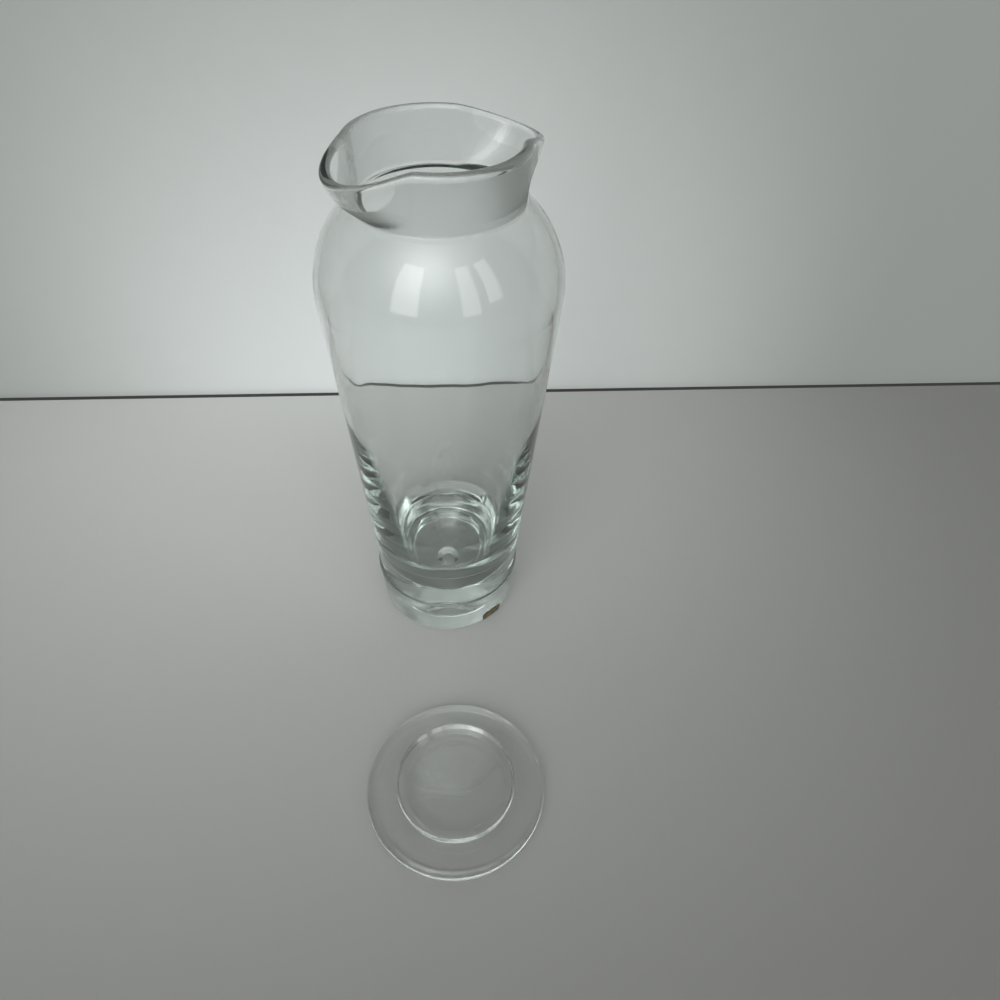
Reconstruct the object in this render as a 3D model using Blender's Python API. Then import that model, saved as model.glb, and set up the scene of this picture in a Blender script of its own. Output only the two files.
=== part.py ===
"""Glass decanter with two pouring lips, its lift-off glass lid and a bare foil label.

Units are metres, +Z is up. The origin is the middle of the decanter's underside,
and the lid lies beside the decanter, plug upwards, on the same table.
"""
import math

import bmesh
import bpy

# Decanter, outside
FOOT_RADIUS = 0.0357
HEEL_RADIUS = 0.0015
FOOT_BAND_HEIGHT = 0.022
FOOT_BAND_RADIUS = 0.0371
BELLY_RADIUS = 0.0495
CREASE_RADIUS = 0.0326
RIM_RADIUS = 0.0340
RIM_HEIGHT = 0.2450
NECK_HEIGHT = 0.0215
SHOULDER_HEIGHT = 0.0345
CREASE_HEIGHT = RIM_HEIGHT - NECK_HEIGHT
BELLY_HEIGHT = CREASE_HEIGHT - SHOULDER_HEIGHT

# Decanter, inside: thicker at the neck, and a wall that thickens downwards into a heavy base
NECK_WALL = 0.0042
WALL = 0.0028
BASE_WALL = 0.0105
THICK_WALL_HEIGHT = 0.130
THICKENING = 1.3
FLOOR_HEIGHT = 0.020
BOWL_HEIGHT = 0.034

# Pouring lips, one each side of the mouth
LIP_AZIMUTH = math.radians(33.8)
LIP_HALF_ANGLE = math.radians(44.0)
LIP_PULL = 0.0102
LIP_DIP = 0.0058

# Lid
LID_RADIUS = 0.0404
LID_FLANGE_THICKNESS = 0.0075
LID_EDGE_RADIUS = 0.0030
PLUG_CLEARANCE = 0.0017
PLUG_HEIGHT = 0.0050
PLUG_EDGE_RADIUS = 0.0012
PLUG_DISH_DEPTH = 0.0030
PLUG_DISH_SLOPE = 0.0042
LID_DISTANCE = 0.1242
LID_SIDEWAYS = -0.002

# Foil label
LABEL_WIDTH = 0.0120
LABEL_HEIGHT = 0.0060
LABEL_THICKNESS = 0.0003
LABEL_AZIMUTH = math.radians(-52.0)
LABEL_CENTRE_HEIGHT = 0.0048
LABEL_GAP = 0.0003

# Mesh resolution
SEGMENTS = 48
LID_SEGMENTS = 48
LABEL_COLUMNS = 8
HEEL_STEPS = 3
WALL_STEPS = 5
SHOULDER_STEPS = 8
NECK_STEPS = 4
RIM_STEPS = 4
THICK_WALL_STEPS = 5
BOWL_STEPS = 8
EDGE_STEPS = 4


def clear_scene():
    for item in list(bpy.data.objects):
        bpy.data.objects.remove(item, do_unlink=True)


def make_material(name, colour, roughness, metallic=0.0, transmission=0.0, alpha=1.0):
    material = bpy.data.materials.new(name)
    material.use_nodes = True
    shader = material.node_tree.nodes["Principled BSDF"]
    shader.inputs["Base Color"].default_value = (*colour, 1.0)
    shader.inputs["Roughness"].default_value = roughness
    shader.inputs["Metallic"].default_value = metallic
    shader.inputs["Transmission Weight"].default_value = transmission
    shader.inputs["Alpha"].default_value = alpha
    return material


def finish_object(name, mesh_data, material, location=(0.0, 0.0, 0.0), smooth=True):
    """Turn a bmesh into a named scene object with its own material."""
    bmesh.ops.recalc_face_normals(mesh_data, faces=mesh_data.faces)
    mesh = bpy.data.meshes.new(name)
    mesh_data.to_mesh(mesh)
    mesh_data.free()
    mesh.materials.append(material)
    for polygon in mesh.polygons:
        polygon.use_smooth = smooth
    item = bpy.data.objects.new(name, mesh)
    item.location = location
    bpy.context.collection.objects.link(item)
    return item


def skin_rings(rings):
    """Close a body from rings of points, with a flat cap on the first and the last."""
    mesh_data = bmesh.new()
    loops = [[mesh_data.verts.new(point) for point in ring] for ring in rings]
    count = len(loops[0])
    for lower, upper in zip(loops, loops[1:]):
        for i in range(count):
            j = (i + 1) % count
            mesh_data.faces.new((lower[i], lower[j], upper[j], upper[i]))
    mesh_data.faces.new(loops[0])
    mesh_data.faces.new(loops[-1])
    return mesh_data


def round_ring(radius, height, count):
    """Points of one level circle about the Z axis."""
    turn = 2.0 * math.pi / count
    return [(radius * math.cos(i * turn), radius * math.sin(i * turn), height)
            for i in range(count)]


def arc(centre_r, centre_z, radius, start, end, steps):
    """Points (r, z) along an arc, both ends included, angles from the outward direction."""
    return [(centre_r + radius * math.cos(start + (end - start) * i / steps),
             centre_z + radius * math.sin(start + (end - start) * i / steps))
            for i in range(steps + 1)]


def shoulder_arc():
    """Radius, centre and end angle of the arc from the belly up to the crease."""
    rise = CREASE_HEIGHT - BELLY_HEIGHT
    step_in = BELLY_RADIUS - CREASE_RADIUS
    end = 2.0 * math.atan2(step_in, rise)
    radius = rise / math.sin(end)
    return radius, BELLY_RADIUS - radius, end


def wall_tangent_angle():
    """Angle on the shoulder's arc where the straight wall from the foot band meets it."""
    radius, centre_r, _ = shoulder_arc()
    across = FOOT_BAND_RADIUS - centre_r
    down = BELLY_HEIGHT - FOOT_BAND_HEIGHT
    return math.acos(radius / math.hypot(across, down)) - math.atan2(down, across)


def wall_radius(height):
    """Outer radius of the decanter at a height between the underside and the crease."""
    if height <= FOOT_BAND_HEIGHT:
        share = height / FOOT_BAND_HEIGHT
        return FOOT_RADIUS + (FOOT_BAND_RADIUS - FOOT_RADIUS) * share
    radius, centre_r, _ = shoulder_arc()
    start = wall_tangent_angle()
    start_r = centre_r + radius * math.cos(start)
    start_z = BELLY_HEIGHT + radius * math.sin(start)
    if height <= start_z:
        share = (height - FOOT_BAND_HEIGHT) / (start_z - FOOT_BAND_HEIGHT)
        return FOOT_BAND_RADIUS + (start_r - FOOT_BAND_RADIUS) * share
    return centre_r + math.sqrt(radius ** 2 - (height - BELLY_HEIGHT) ** 2)


def cavity_radius(height):
    """Inner radius below the shoulder: the thickening wall inside the outline, and the bowl."""
    down = max(THICK_WALL_HEIGHT - height, 0.0) / (THICK_WALL_HEIGHT - FLOOR_HEIGHT)
    wall = WALL + (BASE_WALL - WALL) * down ** THICKENING
    depth = min((height - FLOOR_HEIGHT) / BOWL_HEIGHT, 1.0)
    return (wall_radius(height) - wall) * math.sqrt(1.0 - (1.0 - depth) ** 2)


def lip_weight(angle):
    """1 on the axis of a pouring lip, falling to 0 at its half angle."""
    offset = (angle - LIP_AZIMUTH + math.pi / 2.0) % math.pi - math.pi / 2.0
    share = min(abs(offset) / LIP_HALF_ANGLE, 1.0)
    return math.cos(share * math.pi / 2.0) ** 2


def neck_ring(rise, inset, drop):
    """One ring of the neck, at a share of its height, set in from the outer face."""
    ring = []
    for i in range(SEGMENTS):
        angle = 2.0 * math.pi * i / SEGMENTS
        lip = lip_weight(angle)
        radius = CREASE_RADIUS + (RIM_RADIUS - CREASE_RADIUS) * rise
        radius += LIP_PULL * lip * (1.0 - (1.0 - rise) ** 2) - inset
        height = CREASE_HEIGHT + (RIM_HEIGHT - CREASE_HEIGHT) * rise
        height -= LIP_DIP * lip * rise + drop
        ring.append((radius * math.cos(angle), radius * math.sin(angle), height))
    return ring


def decanter_rings():
    """Rings from the underside up the outside, over the rim and down to the floor."""
    rings = []
    heel_r = FOOT_RADIUS - HEEL_RADIUS
    for radius, height in arc(heel_r, HEEL_RADIUS, HEEL_RADIUS, -math.pi / 2.0, 0.0, HEEL_STEPS):
        rings.append(round_ring(radius, height, SEGMENTS))
    start = wall_tangent_angle()
    radius, centre_r, end = shoulder_arc()
    start_z = BELLY_HEIGHT + radius * math.sin(start)
    for i in range(WALL_STEPS):
        height = FOOT_BAND_HEIGHT + (start_z - FOOT_BAND_HEIGHT) * i / WALL_STEPS
        rings.append(round_ring(wall_radius(height), height, SEGMENTS))
    for ring_r, height in arc(centre_r, BELLY_HEIGHT, radius, start, end, SHOULDER_STEPS):
        rings.append(round_ring(ring_r, height, SEGMENTS))
    half_wall = NECK_WALL / 2.0
    neck_levels = [i / NECK_STEPS for i in range(1, NECK_STEPS)]
    for rise in neck_levels:
        rings.append(neck_ring(rise, 0.0, 0.0))
    for i in range(RIM_STEPS + 1):
        turn = math.pi * i / RIM_STEPS
        rings.append(neck_ring(1.0, half_wall * (1.0 - math.cos(turn)),
                               half_wall * (1.0 - math.sin(turn))))
    for rise in reversed(neck_levels):
        rings.append(neck_ring(rise, NECK_WALL, 0.0))
    inner_radius = radius - WALL
    inner_end = math.acos((CREASE_RADIUS - NECK_WALL - centre_r) / inner_radius)
    for ring_r, height in arc(centre_r, BELLY_HEIGHT, inner_radius, inner_end, start, SHOULDER_STEPS):
        rings.append(round_ring(ring_r, height, SEGMENTS))
    bowl_top = FLOOR_HEIGHT + BOWL_HEIGHT
    thick_top = min(THICK_WALL_HEIGHT, (start_z + THICK_WALL_HEIGHT) / 2.0)
    for i in range(THICK_WALL_STEPS):
        height = thick_top + (bowl_top - thick_top) * i / THICK_WALL_STEPS
        rings.append(round_ring(cavity_radius(height), height, SEGMENTS))
    for i in range(BOWL_STEPS):
        height = FLOOR_HEIGHT + BOWL_HEIGHT * (1.0 - math.sin(math.pi / 2.0 * i / BOWL_STEPS))
        rings.append(round_ring(cavity_radius(height), height, SEGMENTS))
    return rings


def build_decanter():
    glass = make_material("clear_glass", (0.86, 0.90, 0.88), 0.03, 0.0, 1.0, 0.35)
    return finish_object("decanter_body", skin_rings(decanter_rings()), glass)


def build_lid():
    """Stepped disc with a dished plug, modelled as it lies: flange down, plug upwards."""
    plug_r = CREASE_RADIUS - NECK_WALL - PLUG_CLEARANCE
    top = LID_FLANGE_THICKNESS + PLUG_HEIGHT
    edge_r = LID_RADIUS - LID_EDGE_RADIUS
    quarter = math.pi / 2.0
    profile = arc(edge_r, LID_EDGE_RADIUS, LID_EDGE_RADIUS, -quarter, 0.0, EDGE_STEPS)
    upper_z = LID_FLANGE_THICKNESS - LID_EDGE_RADIUS
    profile += arc(edge_r, upper_z, LID_EDGE_RADIUS, 0.0, quarter, EDGE_STEPS)
    profile.append((plug_r, LID_FLANGE_THICKNESS))
    plug_edge_r = plug_r - PLUG_EDGE_RADIUS
    profile += arc(plug_edge_r, top - PLUG_EDGE_RADIUS, PLUG_EDGE_RADIUS, 0.0, quarter, EDGE_STEPS)
    profile.append((plug_edge_r - PLUG_DISH_SLOPE, top - PLUG_DISH_DEPTH))
    rings = [round_ring(radius, height, LID_SEGMENTS) for radius, height in profile]
    glass = make_material("lid_glass", (0.88, 0.91, 0.89), 0.03, 0.0, 1.0, 0.35)
    return finish_object("lid", skin_rings(rings), glass, (LID_SIDEWAYS, -LID_DISTANCE, 0.0))


def build_label():
    """Thin bare foil, bent round the foot band with a small gap to the glass."""
    mesh_data = bmesh.new()
    levels = (LABEL_CENTRE_HEIGHT - LABEL_HEIGHT / 2.0, LABEL_CENTRE_HEIGHT + LABEL_HEIGHT / 2.0)
    half_turn = LABEL_WIDTH / (2.0 * wall_radius(LABEL_CENTRE_HEIGHT))
    sheets = []
    for lift in (LABEL_GAP, LABEL_GAP + LABEL_THICKNESS):
        sheet = []
        for height in levels:
            radius = wall_radius(height) + lift
            row = []
            for i in range(LABEL_COLUMNS + 1):
                angle = LABEL_AZIMUTH + half_turn * (2.0 * i / LABEL_COLUMNS - 1.0)
                point = (radius * math.cos(angle), radius * math.sin(angle), height)
                row.append(mesh_data.verts.new(point))
            sheet.append(row)
        sheets.append(sheet)
    (back_low, back_high), (face_low, face_high) = sheets
    for i in range(LABEL_COLUMNS):
        for first, second in ((face_low, face_high), (face_high, back_high),
                              (back_high, back_low), (back_low, face_low)):
            mesh_data.faces.new((first[i], first[i + 1], second[i + 1], second[i]))
    for i in (0, LABEL_COLUMNS):
        mesh_data.faces.new((face_low[i], face_high[i], back_high[i], back_low[i]))
    foil = make_material("bare_foil", (0.30, 0.26, 0.16), 0.42, 0.85)
    return finish_object("foil_label", mesh_data, foil, smooth=False)


def main():
    clear_scene()
    build_decanter()
    build_lid()
    build_label()


main()
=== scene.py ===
import math

import bmesh
import bpy
from mathutils import Matrix, Vector


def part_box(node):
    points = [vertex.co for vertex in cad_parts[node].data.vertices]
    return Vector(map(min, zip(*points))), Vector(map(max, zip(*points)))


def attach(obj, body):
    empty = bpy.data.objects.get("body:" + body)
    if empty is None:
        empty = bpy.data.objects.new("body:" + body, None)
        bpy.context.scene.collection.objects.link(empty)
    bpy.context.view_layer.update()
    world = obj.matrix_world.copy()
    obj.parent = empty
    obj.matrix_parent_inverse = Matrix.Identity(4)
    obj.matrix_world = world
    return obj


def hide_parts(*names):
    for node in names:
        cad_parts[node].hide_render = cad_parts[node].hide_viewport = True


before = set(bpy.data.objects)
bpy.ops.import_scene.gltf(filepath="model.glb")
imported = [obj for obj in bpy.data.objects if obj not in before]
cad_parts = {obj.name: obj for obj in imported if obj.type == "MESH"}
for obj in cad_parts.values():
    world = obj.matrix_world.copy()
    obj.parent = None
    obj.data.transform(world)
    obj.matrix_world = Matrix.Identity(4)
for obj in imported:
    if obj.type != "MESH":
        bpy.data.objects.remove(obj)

scene = bpy.context.scene
scene.view_settings.view_transform = "Standard"
scene.cycles.max_bounces = 64  # light runs far inside a glass wall before it leaves it
scene.cycles.glossy_bounces = 48
scene.cycles.transmission_bounces = 32
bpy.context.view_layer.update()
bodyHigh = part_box("decanter_body")[1]
lidLow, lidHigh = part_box("lid")
labelLow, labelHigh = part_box("foil_label")
quarterTurn = math.pi / 2.0
tiny = 1e-6  # a radius below this lies on the axis


# Sockets as plain arithmetic, for shader trees and geometry trees alike
class Wire:
    def __init__(self, tree, socket):
        self.tree = tree
        self.socket = socket

    def math(self, operation, other=None, flip=False):
        values = (other, self) if flip else (self, other)
        inputs = {i: value for i, value in enumerate(values) if value is not None}
        return Wire.node(self.tree, "ShaderNodeMath", {"operation": operation}, inputs)

    def __add__(self, other):
        return self.math("ADD", other)

    def __sub__(self, other):
        return self.math("SUBTRACT", other)

    def __mul__(self, other):
        return self.math("MULTIPLY", other)

    def __truediv__(self, other):
        return self.math("DIVIDE", other)

    def __pow__(self, other):
        return self.math("POWER", other)

    __radd__ = __add__
    __rmul__ = __mul__

    def __rsub__(self, other):
        return self.math("SUBTRACT", other, True)

    def __rtruediv__(self, other):
        return self.math("DIVIDE", other, True)

    def __rpow__(self, other):
        return self.math("POWER", other, True)

    def clamped(self):
        return self.math("MAXIMUM", 0.0).math("MINIMUM", 1.0)

    @staticmethod
    def node(tree, kind, settings, inputs, output=0):
        item = tree.nodes.new(kind)
        for name, value in settings.items():
            setattr(item, name, value)
        for name, value in inputs.items():
            if isinstance(value, Wire):
                tree.links.new(value.socket, item.inputs[name])
            else:
                item.inputs[name].default_value = value
        return Wire(tree, item.outputs[output])


def newMaterial(name):
    material = bpy.data.materials.new(name)
    material.use_nodes = True
    material.node_tree.nodes.clear()
    return material, material.node_tree


def finishMaterial(tree, surface, volume=None):
    out = tree.nodes.new("ShaderNodeOutputMaterial")
    tree.links.new(surface.socket, out.inputs["Surface"])
    if volume is not None:
        tree.links.new(volume.socket, out.inputs["Volume"])


def mixColours(tree, factor, first, second):
    return Wire.node(tree, "ShaderNodeMix", {"data_type": "RGBA"}, {0: factor, 6: first, 7: second}, 2)


# Clear glass: faint streaks in the tint, wiped smears in the polish, slow waves in the surface.
# Where the mesh says satin, the face is finely ground and scatters the light.
glassLook = {
    "clear": (0.985, 0.992, 0.989, 1.0),
    "streak": (0.968, 0.982, 0.976, 1.0),
    "drawnOut": (1.0, 1.0, 0.25),
    "streakScale": 22.0,
    "smearScale": 34.0,
    "smearFrom": 0.45,
    "smearGain": 3.0,
    "leastRoughness": 0.004,
    "mostRoughness": 0.030,
    "waveScale": 52.0,
    "waveStrength": 0.38,
    "waveDepth": 0.0006,
    "ior": 1.52,
    "depthTint": (0.80, 0.826, 0.816, 1.0),
    "depthDensity": 36.0,
    "satinRoughness": 0.55,
    "satinSpread": 0.08,
    "satinTint": (0.86, 0.875, 0.865, 1.0),
    "satinGrain": 1800.0,
    "shadowTint": (0.48, 0.485, 0.48, 1.0),
}


def glassMaterial(name, look):
    material, tree = newMaterial(name)
    place = Wire.node(tree, "ShaderNodeTexCoord", {}, {}, "Object")
    drawn = Wire.node(tree, "ShaderNodeMapping", {}, {"Vector": place, "Scale": look["drawnOut"]})
    streak = Wire.node(tree, "ShaderNodeTexNoise", {}, {
        "Vector": drawn, "Scale": look["streakScale"], "Detail": 3.0, "Distortion": 0.6})
    smear = Wire.node(tree, "ShaderNodeTexNoise", {}, {
        "Vector": place, "Scale": look["smearScale"], "Detail": 5.0, "Distortion": 1.2})
    wave = Wire.node(tree, "ShaderNodeTexNoise", {}, {
        "Vector": drawn, "Scale": look["waveScale"], "Detail": 1.0})
    satin = Wire.node(tree, "ShaderNodeAttribute", {"attribute_name": "satin"}, {}, "Fac")
    grain = Wire.node(tree, "ShaderNodeTexNoise", {}, {
        "Vector": place, "Scale": look["satinGrain"], "Detail": 2.0})
    tint = mixColours(tree, streak, look["clear"], look["streak"])
    tint = mixColours(tree, satin, tint, look["satinTint"])
    wiped = ((smear - look["smearFrom"]) * look["smearGain"]).clamped() ** 2.0
    spread = look["mostRoughness"] - look["leastRoughness"]
    leastSatin = look["satinRoughness"] - look["satinSpread"] / 2.0
    ground = satin * (leastSatin + grain * look["satinSpread"])
    roughness = wiped * spread + look["leastRoughness"] + ground
    bump = Wire.node(tree, "ShaderNodeBump", {}, {
        "Height": wave, "Strength": look["waveStrength"], "Distance": look["waveDepth"]})
    surface = Wire.node(tree, "ShaderNodeBsdfPrincipled", {}, {
        "Base Color": tint, "Roughness": roughness, "Normal": bump,
        "Transmission Weight": 1.0, "IOR": look["ior"]})
    through = Wire.node(tree, "ShaderNodeBsdfTransparent", {}, {"Color": look["shadowTint"]})
    lampRay = Wire.node(tree, "ShaderNodeLightPath", {}, {}, "Is Shadow Ray")
    lit = Wire.node(tree, "ShaderNodeMixShader", {}, {0: lampRay, 1: surface, 2: through})
    depth = Wire.node(tree, "ShaderNodeVolumeAbsorption", {}, {
        "Color": look["depthTint"], "Density": look["depthDensity"]})
    finishMaterial(tree, lit, depth)
    return material


# Bare label foil: dull gold, brushed one way, darker and rougher where it is rubbed
foilLook = {
    "gold": (0.30, 0.25, 0.14, 1.0),
    "worn": (0.12, 0.10, 0.07, 1.0),
    "rubScale": 420.0,
    "rubFrom": 0.42,
    "rubGain": 4.0,
    "leastRoughness": 0.33,
    "rubRoughness": 0.25,
    "brushScale": 900.0,
    "brushAlong": (0.15, 0.15, 1.0),
    "brushStrength": 0.25,
    "brushDepth": 0.00005,
    "metallic": 0.85,
}


def foilMaterial(look):
    material, tree = newMaterial("bareFoil")
    place = Wire.node(tree, "ShaderNodeTexCoord", {}, {}, "Object")
    level = Wire.node(tree, "ShaderNodeMapping", {}, {"Vector": place, "Scale": look["brushAlong"]})
    rub = Wire.node(tree, "ShaderNodeTexNoise", {}, {
        "Vector": place, "Scale": look["rubScale"], "Detail": 4.0})
    brush = Wire.node(tree, "ShaderNodeTexNoise", {}, {
        "Vector": level, "Scale": look["brushScale"], "Detail": 2.0})
    worn = ((rub - look["rubFrom"]) * look["rubGain"]).clamped()
    colour = mixColours(tree, worn, look["gold"], look["worn"])
    bump = Wire.node(tree, "ShaderNodeBump", {}, {
        "Height": brush, "Strength": look["brushStrength"], "Distance": look["brushDepth"]})
    surface = Wire.node(tree, "ShaderNodeBsdfPrincipled", {}, {
        "Base Color": colour, "Roughness": worn * look["rubRoughness"] + look["leastRoughness"],
        "Normal": bump, "Metallic": look["metallic"]})
    finishMaterial(tree, surface)
    return material


def arcPoints(centreR, centreZ, radius, start, end, steps):
    turn = (end - start) / steps
    return [(centreR + radius * math.cos(start + turn * i),
             centreZ + radius * math.sin(start + turn * i)) for i in range(steps + 1)]


def straightPoints(first, last, steps):
    return [(first[0] + (last[0] - first[0]) * i / steps,
             first[1] + (last[1] - first[1]) * i / steps) for i in range(steps + 1)]


def softCorner(before, corner, after, reach, steps):  # short curve in place of a sharp corner
    ends = []
    for other in (before, after):
        run = math.hypot(other[0] - corner[0], other[1] - corner[1])
        ends.append([corner[k] + (other[k] - corner[k]) * reach / run for k in (0, 1)])
    points = []
    for i in range(steps + 1):
        t = i / steps
        points.append(tuple((1 - t) ** 2 * ends[0][k] + 2 * t * (1 - t) * corner[k] + t * t * ends[1][k]
                            for k in (0, 1)))
    return points


def spinProfile(name, profile, segments, centre=(0.0, 0.0, 0.0)):
    mesh = bmesh.new()
    loops = []
    for radius, height in profile:
        if radius < tiny:  # a point on the axis closes the surface
            loops.append([mesh.verts.new((centre[0], centre[1], centre[2] + height))])
            continue
        loops.append([mesh.verts.new((centre[0] + radius * math.cos(2 * math.pi * i / segments),
                                      centre[1] + radius * math.sin(2 * math.pi * i / segments),
                                      centre[2] + height)) for i in range(segments)])
    for low, high in zip(loops, loops[1:]):
        for i in range(segments):
            j = (i + 1) % segments
            ring = [low[i % len(low)], low[j % len(low)], high[j % len(high)], high[i % len(high)]]
            mesh.faces.new(list(dict.fromkeys(ring)))
    bmesh.ops.recalc_face_normals(mesh, faces=mesh.faces)
    data = bpy.data.meshes.new(name)
    mesh.to_mesh(data)
    mesh.free()
    data.shade_smooth()
    piece = bpy.data.objects.new(name, data)
    scene.collection.objects.link(piece)
    return piece


# The decanter: straight wall from the foot band to a round shoulder, crease, short neck
decanter = {
    "footRadius": 0.0357,
    "heelRadius": 0.0015,
    "bandHeight": 0.0245,
    "bandRadius": 0.0366,
    "ledge": 0.0012,
    "ledgeDrop": 0.0006,
    "ledgeSoftness": 0.0003,
    "bellyRadius": 0.0495,
    "bellyHeight": 0.189,
    "creaseRadius": 0.0326,
    "creaseHeight": 0.2235,
    "creaseSoftness": 0.0008,
    "innerSoftness": 0.0026,
    "rimRadius": 0.0340,
    "rimHeight": bodyHigh[2],
    "neckWall": 0.0042,
    "wall": 0.0028,
    "baseWall": 0.0105,
    "thickFrom": 0.130,
    "thickening": 1.3,
    "floorHeight": 0.020,
    "bowlHeight": 0.034,
    "hollowRadius": 0.0105,
    "hollowDepth": 0.0060,
    "hollowFlare": 1.5,
    "hollowSteps": 24,
    "baseSteps": 8,
    "cornerSteps": 6,
    "bandSteps": 10,
    "wallSteps": 24,
    "curveSteps": 40,
    "neckSteps": 22,
    "rimSteps": 16,
    "neckInnerSteps": 14,
    "innerCornerSteps": 10,
    "segments": 192,
}
lips = {
    "azimuth": math.radians(33.8),
    "halfAngle": math.radians(42.5),
    "bluntness": 1.5,
    "pull": 0.0102,
    "dip": 0.0058,
    "clearAngle": math.radians(33.0),
    "clearDepth": 0.56,
    "clearRoundness": 3.0,
    "clearFrom": 0.97,
    "clearFade": 0.06,
}


def shoulderArc(d):
    rise = d["creaseHeight"] - d["bellyHeight"]
    end = 2.0 * math.atan2(d["bellyRadius"] - d["creaseRadius"], rise)
    radius = rise / math.sin(end)
    centreR = d["bellyRadius"] - radius
    across = d["bandRadius"] - centreR
    down = d["bellyHeight"] - d["bandHeight"]
    start = math.acos(radius / math.hypot(across, down)) - math.atan2(down, across)
    return radius, centreR, start, end


def outerRadius(d, height):  # of the wall, below the shoulder
    ledgeRadius, ledgeHeight = d["bandRadius"] + d["ledge"], d["bandHeight"] - d["ledgeDrop"]
    if height <= ledgeHeight:
        share = height / ledgeHeight
        return d["footRadius"] + (ledgeRadius - d["footRadius"]) * share
    if height <= d["bandHeight"]:
        return ledgeRadius - d["ledge"] * (height - ledgeHeight) / d["ledgeDrop"]
    radius, centreR, start, _ = shoulderArc(d)
    startR = centreR + radius * math.cos(start)
    startZ = d["bellyHeight"] + radius * math.sin(start)
    share = (height - d["bandHeight"]) / (startZ - d["bandHeight"])
    return d["bandRadius"] + (startR - d["bandRadius"]) * share


def cavityRadius(d, height):  # wall that thickens downwards, then a rounded bowl
    down = max(0.0, d["thickFrom"] - height) / (d["thickFrom"] - d["floorHeight"])
    wall = d["wall"] + (d["baseWall"] - d["wall"]) * down ** d["thickening"]
    depth = min((height - d["floorHeight"]) / d["bowlHeight"], 1.0)
    return (outerRadius(d, height) - wall) * math.sqrt(max(0.0, 1.0 - (1.0 - depth) ** 2))


def decanterProfile(d):
    radius, centreR, start, end = shoulderArc(d)
    startZ = d["bellyHeight"] + radius * math.sin(start)
    band = (d["bandRadius"], d["bandHeight"])
    foot = (d["footRadius"], d["heelRadius"])
    wallTop = (centreR + radius * math.cos(start), startZ)
    points = []
    for i in range(d["hollowSteps"] + 1):  # small polished hollow under the base
        t = i / d["hollowSteps"]
        points.append((d["hollowRadius"] * t, d["hollowDepth"] * (1.0 - t * t) ** d["hollowFlare"]))
    heelR = d["footRadius"] - d["heelRadius"]
    points += straightPoints((d["hollowRadius"], 0.0), (heelR, 0.0), d["baseSteps"])[1:-1]
    points += arcPoints(heelR, d["heelRadius"], d["heelRadius"], -quarterTurn, 0.0, d["cornerSteps"])
    ledge = (d["bandRadius"] + d["ledge"], d["bandHeight"] - d["ledgeDrop"])  # top of the foot band
    ledgeSoft = softCorner(foot, ledge, band, d["ledgeSoftness"], d["cornerSteps"])
    bandSoft = softCorner(ledge, band, wallTop, d["ledgeSoftness"], d["cornerSteps"])
    points += straightPoints(foot, ledgeSoft[0], d["bandSteps"])[1:-1] + ledgeSoft + bandSoft
    points += straightPoints(bandSoft[-1], wallTop, d["wallSteps"])[1:-1]
    shoulder = arcPoints(centreR, d["bellyHeight"], radius, start, end, d["curveSteps"])
    rimRound = d["neckWall"] / 2.0
    rimSide = d["rimHeight"] - rimRound
    rimOuter = (d["rimRadius"], rimSide)
    crease = softCorner(shoulder[-3], shoulder[-1], rimOuter, d["creaseSoftness"], d["cornerSteps"])
    points += shoulder[:-1] + crease
    satinFrom = len(points) - 1  # the satin runs from the crease up to the round of the rim
    points += straightPoints(crease[-1], rimOuter, d["neckSteps"])[1:-1]
    satinTo = len(points)
    points += arcPoints(d["rimRadius"] - rimRound, rimSide, rimRound, 0.0, math.pi, d["rimSteps"])
    innerRadius = radius - d["wall"]
    innerEnd = math.acos((d["creaseRadius"] - d["neckWall"] - centreR) / innerRadius)
    inner = arcPoints(centreR, d["bellyHeight"], innerRadius, innerEnd, start, d["curveSteps"])
    rimInner = (d["rimRadius"] - d["neckWall"], rimSide)
    innerStep = innerRadius * (innerEnd - start) / d["curveSteps"]
    skip = int(d["innerSoftness"] / innerStep) + 1
    innerCrease = softCorner(rimInner, inner[0], inner[skip], d["innerSoftness"], d["innerCornerSteps"])
    points += straightPoints(rimInner, innerCrease[0], d["neckInnerSteps"])[1:-1]
    points += innerCrease + inner[skip:]
    bowlTop = d["floorHeight"] + d["bowlHeight"]
    for i in range(1, d["curveSteps"]):
        height = inner[-1][1] + (bowlTop - inner[-1][1]) * i / d["curveSteps"]
        points.append((cavityRadius(d, height), height))
    for i in range(d["curveSteps"] + 1):
        height = d["floorHeight"] + d["bowlHeight"] * (1.0 - math.sin(quarterTurn * i / d["curveSteps"]))
        points.append((cavityRadius(d, height), height))
    return points, satinFrom, satinTo


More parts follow.
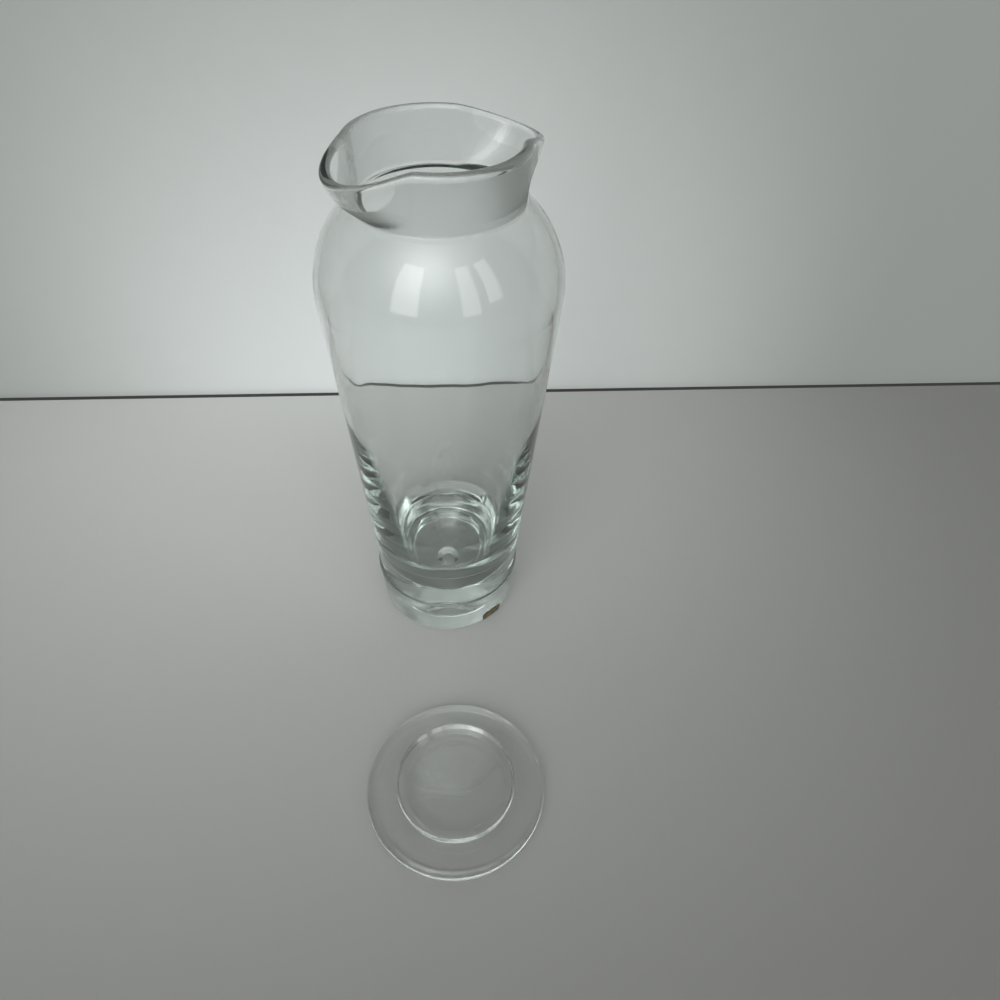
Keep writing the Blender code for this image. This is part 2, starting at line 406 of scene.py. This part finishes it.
# Geometry tree that pulls the two pouring lips out of a round neck and clears the satin on them
def lipTree(material):
    tree = bpy.data.node_groups.new("pouringLips", "GeometryNodeTree")
    tree.interface.new_socket("Geometry", in_out="INPUT", socket_type="NodeSocketGeometry")
    names = ("Azimuth", "Half Angle", "Bluntness", "Pull", "Dip", "Crease Height", "Rim Height",
             "Clear Angle", "Clear Depth")
    for name in names:
        tree.interface.new_socket(name, in_out="INPUT", socket_type="NodeSocketFloat")
    tree.interface.new_socket("Geometry", in_out="OUTPUT", socket_type="NodeSocketGeometry")
    source = tree.nodes.new("NodeGroupInput")
    plain = Wire(tree, source.outputs["Geometry"])
    wires = [Wire(tree, source.outputs[name]) for name in names]
    azimuth, halfAngle, bluntness, pull, dip, creaseZ, rimZ, clearAngle, clearDepth = wires
    place = Wire.node(tree, "GeometryNodeInputPosition", {}, {})
    x, y, z = [Wire.node(tree, "ShaderNodeSeparateXYZ", {}, {0: place}, k) for k in range(3)]
    rise = ((z - creaseZ) / (rimZ - creaseZ)).clamped()
    angle = y.math("ARCTAN2", x)
    turned = (angle - azimuth + quarterTurn).math("FLOORED_MODULO", math.pi)  # lips half a turn apart
    offset = (turned - quarterTurn).math("ABSOLUTE")
    swell = ((offset / halfAngle).math("MINIMUM", 1.0) * quarterTurn).math("COSINE")
    weight = swell.math("MAXIMUM", 0.0) ** bluntness
    outward = pull * weight * (1.0 - (1.0 - rise) ** 2.0)
    reach = (x * x + y * y).math("SQRT").math("MAXIMUM", tiny)
    shift = Wire.node(tree, "ShaderNodeCombineXYZ", {}, {
        0: x / reach * outward, 1: y / reach * outward, 2: dip * weight * rise * -1.0})
    outer = Wire.node(tree, "GeometryNodeInputNamedAttribute", {"data_type": "FLOAT"}, {
        "Name": "neckOuter"})
    roundness = lips["clearRoundness"]
    spread = (offset / clearAngle) ** roundness + ((1.0 - rise) / clearDepth) ** roundness
    satin = outer * ((spread - lips["clearFrom"]) / lips["clearFade"]).clamped()
    perPoint = {"data_type": "FLOAT", "domain": "POINT"}
    marked = Wire.node(tree, "GeometryNodeStoreNamedAttribute", perPoint, {
        "Geometry": plain, "Name": "satin", "Value": satin})
    moved = Wire.node(tree, "GeometryNodeSetPosition", {}, {"Geometry": marked, "Offset": shift})
    real = Wire.node(tree, "GeometryNodeRealizeInstances", {}, {0: moved})
    dressed = Wire.node(tree, "GeometryNodeSetMaterial", {}, {"Geometry": real, "Material": material})
    out = tree.nodes.new("NodeGroupOutput")
    tree.links.new(dressed.socket, out.inputs[0])
    return tree


def bakeModifier(piece, tree, values):
    modifier = piece.modifiers.new(tree.name, "NODES")
    modifier.node_group = tree
    for item in tree.interface.items_tree:
        if item.in_out == "INPUT" and item.name in values:
            modifier[item.identifier] = values[item.name]
    graph = bpy.context.evaluated_depsgraph_get()
    graph.update()
    data = bpy.data.meshes.new_from_object(piece.evaluated_get(graph))
    data.name = piece.name
    piece.modifiers.remove(modifier)
    piece.data = data


def buildDecanter(d):
    material = glassMaterial("clearGlass", glassLook)
    profile, satinFrom, satinTo = decanterProfile(d)
    piece = spinProfile("decanterGlass", profile, d["segments"])
    outer = piece.data.attributes.new("neckOuter", "FLOAT", "POINT")
    firstSpot = 1 + (satinFrom - 1) * d["segments"]  # the first ring is one point on the axis
    lastSpot = 1 + (satinTo - 1) * d["segments"]
    for i in range(firstSpot, lastSpot):
        outer.data[i].value = 1.0
    bakeModifier(piece, lipTree(material), {
        "Azimuth": lips["azimuth"], "Half Angle": lips["halfAngle"], "Bluntness": lips["bluntness"],
        "Pull": lips["pull"], "Dip": lips["dip"],
        "Crease Height": d["creaseHeight"], "Rim Height": d["rimHeight"],
        "Clear Angle": lips["clearAngle"], "Clear Depth": lips["clearDepth"]})
    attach(piece, "decanter")
    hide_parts("decanter_body")


# The lid: stepped disc with a dished plug, lying with the plug upwards
lid = {
    "edgeRadius": 0.0031,
    "flange": 0.0075,
    "plugRadius": 0.0267,
    "plugEdge": 0.0004,
    "stepSoftness": 0.0003,
    "dishDepth": 0.0030,
    "dishSlope": 0.0036,
    "dishSoftness": 0.0004,
    "depthDensity": 10.0,
    "baseSteps": 16,
    "edgeSteps": 12,
    "flangeSteps": 5,
    "stepSteps": 6,
    "plugSteps": 4,
    "plugEdgeSteps": 14,
    "slopeSteps": 5,
    "dishCornerSteps": 8,
    "dishSteps": 12,
    "segments": 192,
}


def lidProfile(d):
    radius = (lidHigh[0] - lidLow[0]) / 2.0
    top = lidHigh[2] - lidLow[2]
    edgeR = radius - d["edgeRadius"]
    edgeTop = d["flange"] - d["edgeRadius"]
    points = straightPoints((0.0, 0.0), (edgeR, 0.0), d["baseSteps"])[:-1]
    points += arcPoints(edgeR, d["edgeRadius"], d["edgeRadius"], -quarterTurn, 0.0, d["edgeSteps"])
    points += arcPoints(edgeR, edgeTop, d["edgeRadius"], 0.0, quarterTurn, d["edgeSteps"])
    flangeEnd = (edgeR, d["flange"])
    plugFoot = (d["plugRadius"], d["flange"])
    plugSide = (d["plugRadius"], top - d["plugEdge"])
    step = softCorner(flangeEnd, plugFoot, plugSide, d["stepSoftness"], d["stepSteps"])
    points += straightPoints(flangeEnd, step[0], d["flangeSteps"])[1:-1] + step
    points += straightPoints(step[-1], plugSide, d["plugSteps"])[1:-1]
    ridge = (d["plugRadius"] - d["plugEdge"], top)
    dish = (ridge[0] - d["dishSlope"], top - d["dishDepth"])
    slope = math.atan2(d["dishSlope"], d["dishDepth"])
    points += arcPoints(ridge[0], plugSide[1], d["plugEdge"], 0.0, math.pi - slope, d["plugEdgeSteps"])
    dishCentre = (0.0, dish[1])
    foot = softCorner(points[-1], dish, dishCentre, d["dishSoftness"], d["dishCornerSteps"])
    points += straightPoints(points[-1], foot[0], d["slopeSteps"])[1:-1] + foot
    points += straightPoints(foot[-1], dishCentre, d["dishSteps"])[1:]
    return points


def buildLid(d):
    centre = ((lidLow[0] + lidHigh[0]) / 2.0, (lidLow[1] + lidHigh[1]) / 2.0, lidLow[2])
    piece = spinProfile("lidGlass", lidProfile(d), d["segments"], centre)
    look = dict(glassLook, depthDensity=d["depthDensity"])
    piece.data.materials.append(glassMaterial("lidGlass", look))
    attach(piece, "lid")
    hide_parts("lid")


# The label: bare foil with round corners and a plain raised border, bent round the foot
label = {
    "azimuth": math.radians(-52.0),
    "width": 0.0120,
    "corner": 0.0011,
    "gap": 0.0003,
    "thickness": 0.00025,
    "border": 0.00005,
    "borderFrom": 0.80,
    "borderTo": 0.90,
    "borderEdge": 0.02,
    "innerRings": (0.0, 0.2, 0.4, 0.6),
    "cornerSteps": 6,
}


def labelOutline(width, height, corner, steps):
    points = []
    for turn in range(4):
        across = (width / 2.0 - corner) * (1, -1, -1, 1)[turn]
        up = (height / 2.0 - corner) * (1, 1, -1, -1)[turn]
        points += [(across + corner * math.cos(quarterTurn * (turn + i / steps)),
                    up + corner * math.sin(quarterTurn * (turn + i / steps))) for i in range(steps + 1)]
    return points


def buildLabel(d):
    height = labelHigh[2] - labelLow[2]
    middle = (labelHigh[2] + labelLow[2]) / 2.0
    outline = labelOutline(d["width"], height, d["corner"], d["cornerSteps"])
    radius = outerRadius(decanter, middle)
    shares = d["innerRings"] + (d["borderFrom"] - d["borderEdge"], d["borderFrom"],
                                d["borderTo"], d["borderTo"] + d["borderEdge"], 1.0)
    mesh = bmesh.new()

    def place(u, v, lift):
        wallR = outerRadius(decanter, middle + v) + d["gap"] + lift
        angle = d["azimuth"] + u / radius
        return mesh.verts.new((wallR * math.cos(angle), wallR * math.sin(angle), middle + v))

    def rings(lift, bordered):
        loops = []
        for share in shares:
            raised = d["border"] if bordered and d["borderFrom"] <= share <= d["borderTo"] else 0.0
            spots = outline if share else outline[:1]
            loops.append([place(u * share, v * share, lift + raised) for u, v in spots])
        return loops

    face = rings(d["thickness"], True)
    back = rings(0.0, False)
    count = len(outline)
    for loops in (face, back, (face[-1], back[-1])):
        for low, high in zip(loops, loops[1:]):
            for i in range(count):
                j = (i + 1) % count
                ring = [low[i % len(low)], low[j % len(low)], high[j], high[i]]
                mesh.faces.new(list(dict.fromkeys(ring)))
    bmesh.ops.recalc_face_normals(mesh, faces=mesh.faces)
    data = bpy.data.meshes.new("labelFoil")
    mesh.to_mesh(data)
    mesh.free()
    data.materials.append(foilMaterial(foilLook))
    piece = bpy.data.objects.new("labelFoil", data)
    scene.collection.objects.link(piece)
    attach(piece, "decanter")
    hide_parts("foil_label")


# Floor and backdrop, each with painted light: the colour pales softly towards one spot, like a pool of
# light, and darkens away from it
stage = {
    # Painted light on the floor: pale at one spot behind and left of the decanter, darker away from it
    "floorPaintedBright": (0.58, 0.58, 0.57, 1.0),
    "floorPaintedDim": (0.236, 0.233, 0.224, 1.0),
    "floorPaintedLightSpot": (-0.12, 0.17, 0.0),
    "floorPaintedLightReach": 0.54,
    # Painted light on the backdrop: pale low down behind the decanter, darker higher up and to the sides
    "wallPaintedBright": (0.94, 0.975, 0.97, 1.0),
    "wallPaintedDim": (0.41, 0.425, 0.41, 1.0),
    "wallPaintedLightSpot": (-0.02, 0.176, 0.03),
    "wallPaintedLightReach": 0.35,
    "floorRoughness": 0.22,
    "floorSpecular": 0.4,
    "wallRoughness": 0.45,
    "wallSpecular": 0.3,
    # Noise that roughens the edge of the painted light
    "fadeNoiseScale": 60.0,
    "fadeNoiseDepth": 0.01,
    # A dark strip along the foot of the backdrop: painted shade of the gap between floor and backdrop
    "gapShadeColour": (0.05, 0.05, 0.048, 1.0),
    "gapShadeRoughness": 0.6,
    "gapShadeSpecular": 0.2,
    "gapShadeWidth": 0.0035,
    "wallY": 0.1758,
    "wallTurn": math.radians(-1.36),
    "size": 3.0,
    "drop": 0.0003,
}


def stageMaterial(name, near, far, glow, reach, roughness, specular):
    material, tree = newMaterial(name)
    place = Wire.node(tree, "ShaderNodeTexCoord", {}, {}, "Object")
    # Painted light: the colour fades from the near colour at the glow spot to the far colour at the
    # reach, with noise on the fade
    away = Wire.node(tree, "ShaderNodeVectorMath", {"operation": "DISTANCE"}, {
        0: place, 1: glow}, "Value")
    grain = Wire.node(tree, "ShaderNodeTexNoise", {}, {
        "Vector": place, "Scale": stage["fadeNoiseScale"], "Detail": 4.0})
    fade = Wire.node(tree, "ShaderNodeMapRange", {"interpolation_type": "SMOOTHSTEP"}, {
        "Value": away + (grain - 0.5) * stage["fadeNoiseDepth"], "From Min": 0.0, "From Max": reach})
    surface = Wire.node(tree, "ShaderNodeBsdfPrincipled", {}, {
        "Base Color": mixColours(tree, fade, near, far), "Roughness": roughness,
        "Specular IOR Level": specular})
    behind = Wire.node(tree, "ShaderNodeNewGeometry", {}, {}, "Backfacing")
    clear = Wire.node(tree, "ShaderNodeBsdfTransparent", {}, {})
    shown = Wire.node(tree, "ShaderNodeMixShader", {}, {0: behind, 1: surface, 2: clear})
    finishMaterial(tree, shown)  # a sheet is there only from its front, so it hides nothing from behind
    return material


def addSheet(name, corners, material):
    data = bpy.data.meshes.new(name)
    data.from_pydata(corners, [], [(0, 1, 2, 3)])
    data.materials.append(material)
    sheet = bpy.data.objects.new(name, data)
    scene.collection.objects.link(sheet)


def buildStage(d):
    half = d["size"] / 2.0
    floor = stageMaterial("paintedLightFloor", d["floorPaintedBright"], d["floorPaintedDim"], d["floorPaintedLightSpot"], d["floorPaintedLightReach"],
                          d["floorRoughness"], d["floorSpecular"])
    wall = stageMaterial("paintedLightWall", d["wallPaintedBright"], d["wallPaintedDim"], d["wallPaintedLightSpot"], d["wallPaintedLightReach"],
                         d["wallRoughness"], d["wallSpecular"])
    low = -d["drop"]  # a hair of air under the glass
    addSheet("floor", [(-half, -half, low), (half, -half, low),
                       (half, half, low), (-half, half, low)], floor)
    slope = math.tan(d["wallTurn"])
    left, right = d["wallY"] - half * slope, d["wallY"] + half * slope
    addSheet("backdrop", [(-half, left, 0.0), (half, right, 0.0),
                          (half, right, half), (-half, left, half)], wall)
    # Painted shade: a dark sheet along the foot of the backdrop stands in for the shadowed gap between
    # floor and backdrop
    gapShade = stageMaterial("paintedGapShade", d["gapShadeColour"], d["gapShadeColour"], (0.0, 0.0, 0.0), 1.0,
                          d["gapShadeRoughness"], d["gapShadeSpecular"])
    near = d["gapShadeWidth"]
    addSheet("gapShade", [(-half, left - near, 0.0), (half, right - near, 0.0),
                       (half, right, 0.0), (-half, left, 0.0)], gapShade)


# Soft light: three tall panels behind the camera, and a surround that brightens towards one side
lights = {
    "panels": (  # name, place, aim, size, power
        ("leftPanel", (-0.68, -1.05, 0.92), (0.0, 0.0, 0.92), (0.50, 1.35), 3.4),
        ("rightPanelNear", (0.52, -1.13, 0.92), (0.0, 0.0, 0.92), (0.34, 1.35), 1.8),
        ("rightPanelFar", (0.94, -0.86, 0.98), (0.0, 0.0, 0.92), (0.34, 1.15), 1.8),
    ),
    "surround": (0.97, 1.0, 0.99, 1.0),
    "surroundLeast": 0.07,
    "surroundGlow": 3.1,
    "glowFrom": (-0.22, -0.64, 0.74),
    "glowFocus": 8.0,
}


def buildLights(d):
    for name, place, aim, size, power in d["panels"]:
        lamp = bpy.data.lights.new(name, "AREA")
        lamp.shape = "RECTANGLE"
        lamp.size, lamp.size_y = size
        lamp.energy = power
        item = bpy.data.objects.new(name, lamp)
        item.location = place
        item.rotation_euler = (Vector(aim) - Vector(place)).to_track_quat("-Z", "Y").to_euler()
        scene.collection.objects.link(item)
    world = bpy.data.worlds.new("surround")
    world.use_nodes = True
    tree = world.node_tree
    tree.nodes.clear()
    towards = Wire.node(tree, "ShaderNodeTexCoord", {}, {}, "Generated")
    facing = Wire.node(tree, "ShaderNodeVectorMath", {"operation": "DOT_PRODUCT"}, {
        0: towards, 1: Vector(d["glowFrom"]).normalized()}, "Value")
    strength = facing.clamped() ** d["glowFocus"] * d["surroundGlow"] + d["surroundLeast"]
    shade = Wire.node(tree, "ShaderNodeBackground", {}, {"Color": d["surround"], "Strength": strength})
    out = tree.nodes.new("ShaderNodeOutputWorld")
    tree.links.new(shade.socket, out.inputs["Surface"])
    scene.world = world


# Camera, solved from the outline: place, pitch, turn and roll
view = {
    "place": (-0.00588, -0.27092, 0.34314),
    "pitch": math.radians(45.74),
    "turn": math.radians(7.08),
    "roll": math.radians(2.60),
    "lens": 27.04,
    "sensor": 36.0,
    "clipStart": 0.01,
}


def buildCamera(d):
    forward = Vector((math.sin(d["turn"]) * math.cos(d["pitch"]),
                      math.cos(d["turn"]) * math.cos(d["pitch"]), -math.sin(d["pitch"])))
    level = Vector((math.cos(d["turn"]), -math.sin(d["turn"]), 0.0))
    upright = level.cross(forward)
    right = level * math.cos(d["roll"]) + upright * math.sin(d["roll"])
    up = upright * math.cos(d["roll"]) - level * math.sin(d["roll"])
    lens = bpy.data.cameras.new("camera")
    lens.lens = d["lens"]
    lens.sensor_width = d["sensor"]
    lens.clip_start = d["clipStart"]
    item = bpy.data.objects.new("camera", lens)
    item.matrix_world = Matrix((right, up, -forward)).transposed().to_4x4()
    item.location = d["place"]
    scene.collection.objects.link(item)
    scene.camera = item


buildCamera(view)
buildStage(stage)
buildLights(lights)
print("camera, stage and light set")
buildDecanter(decanter)
print("decanter made")
buildLid(lid)
print("lid made")
buildLabel(label)
print("label made")
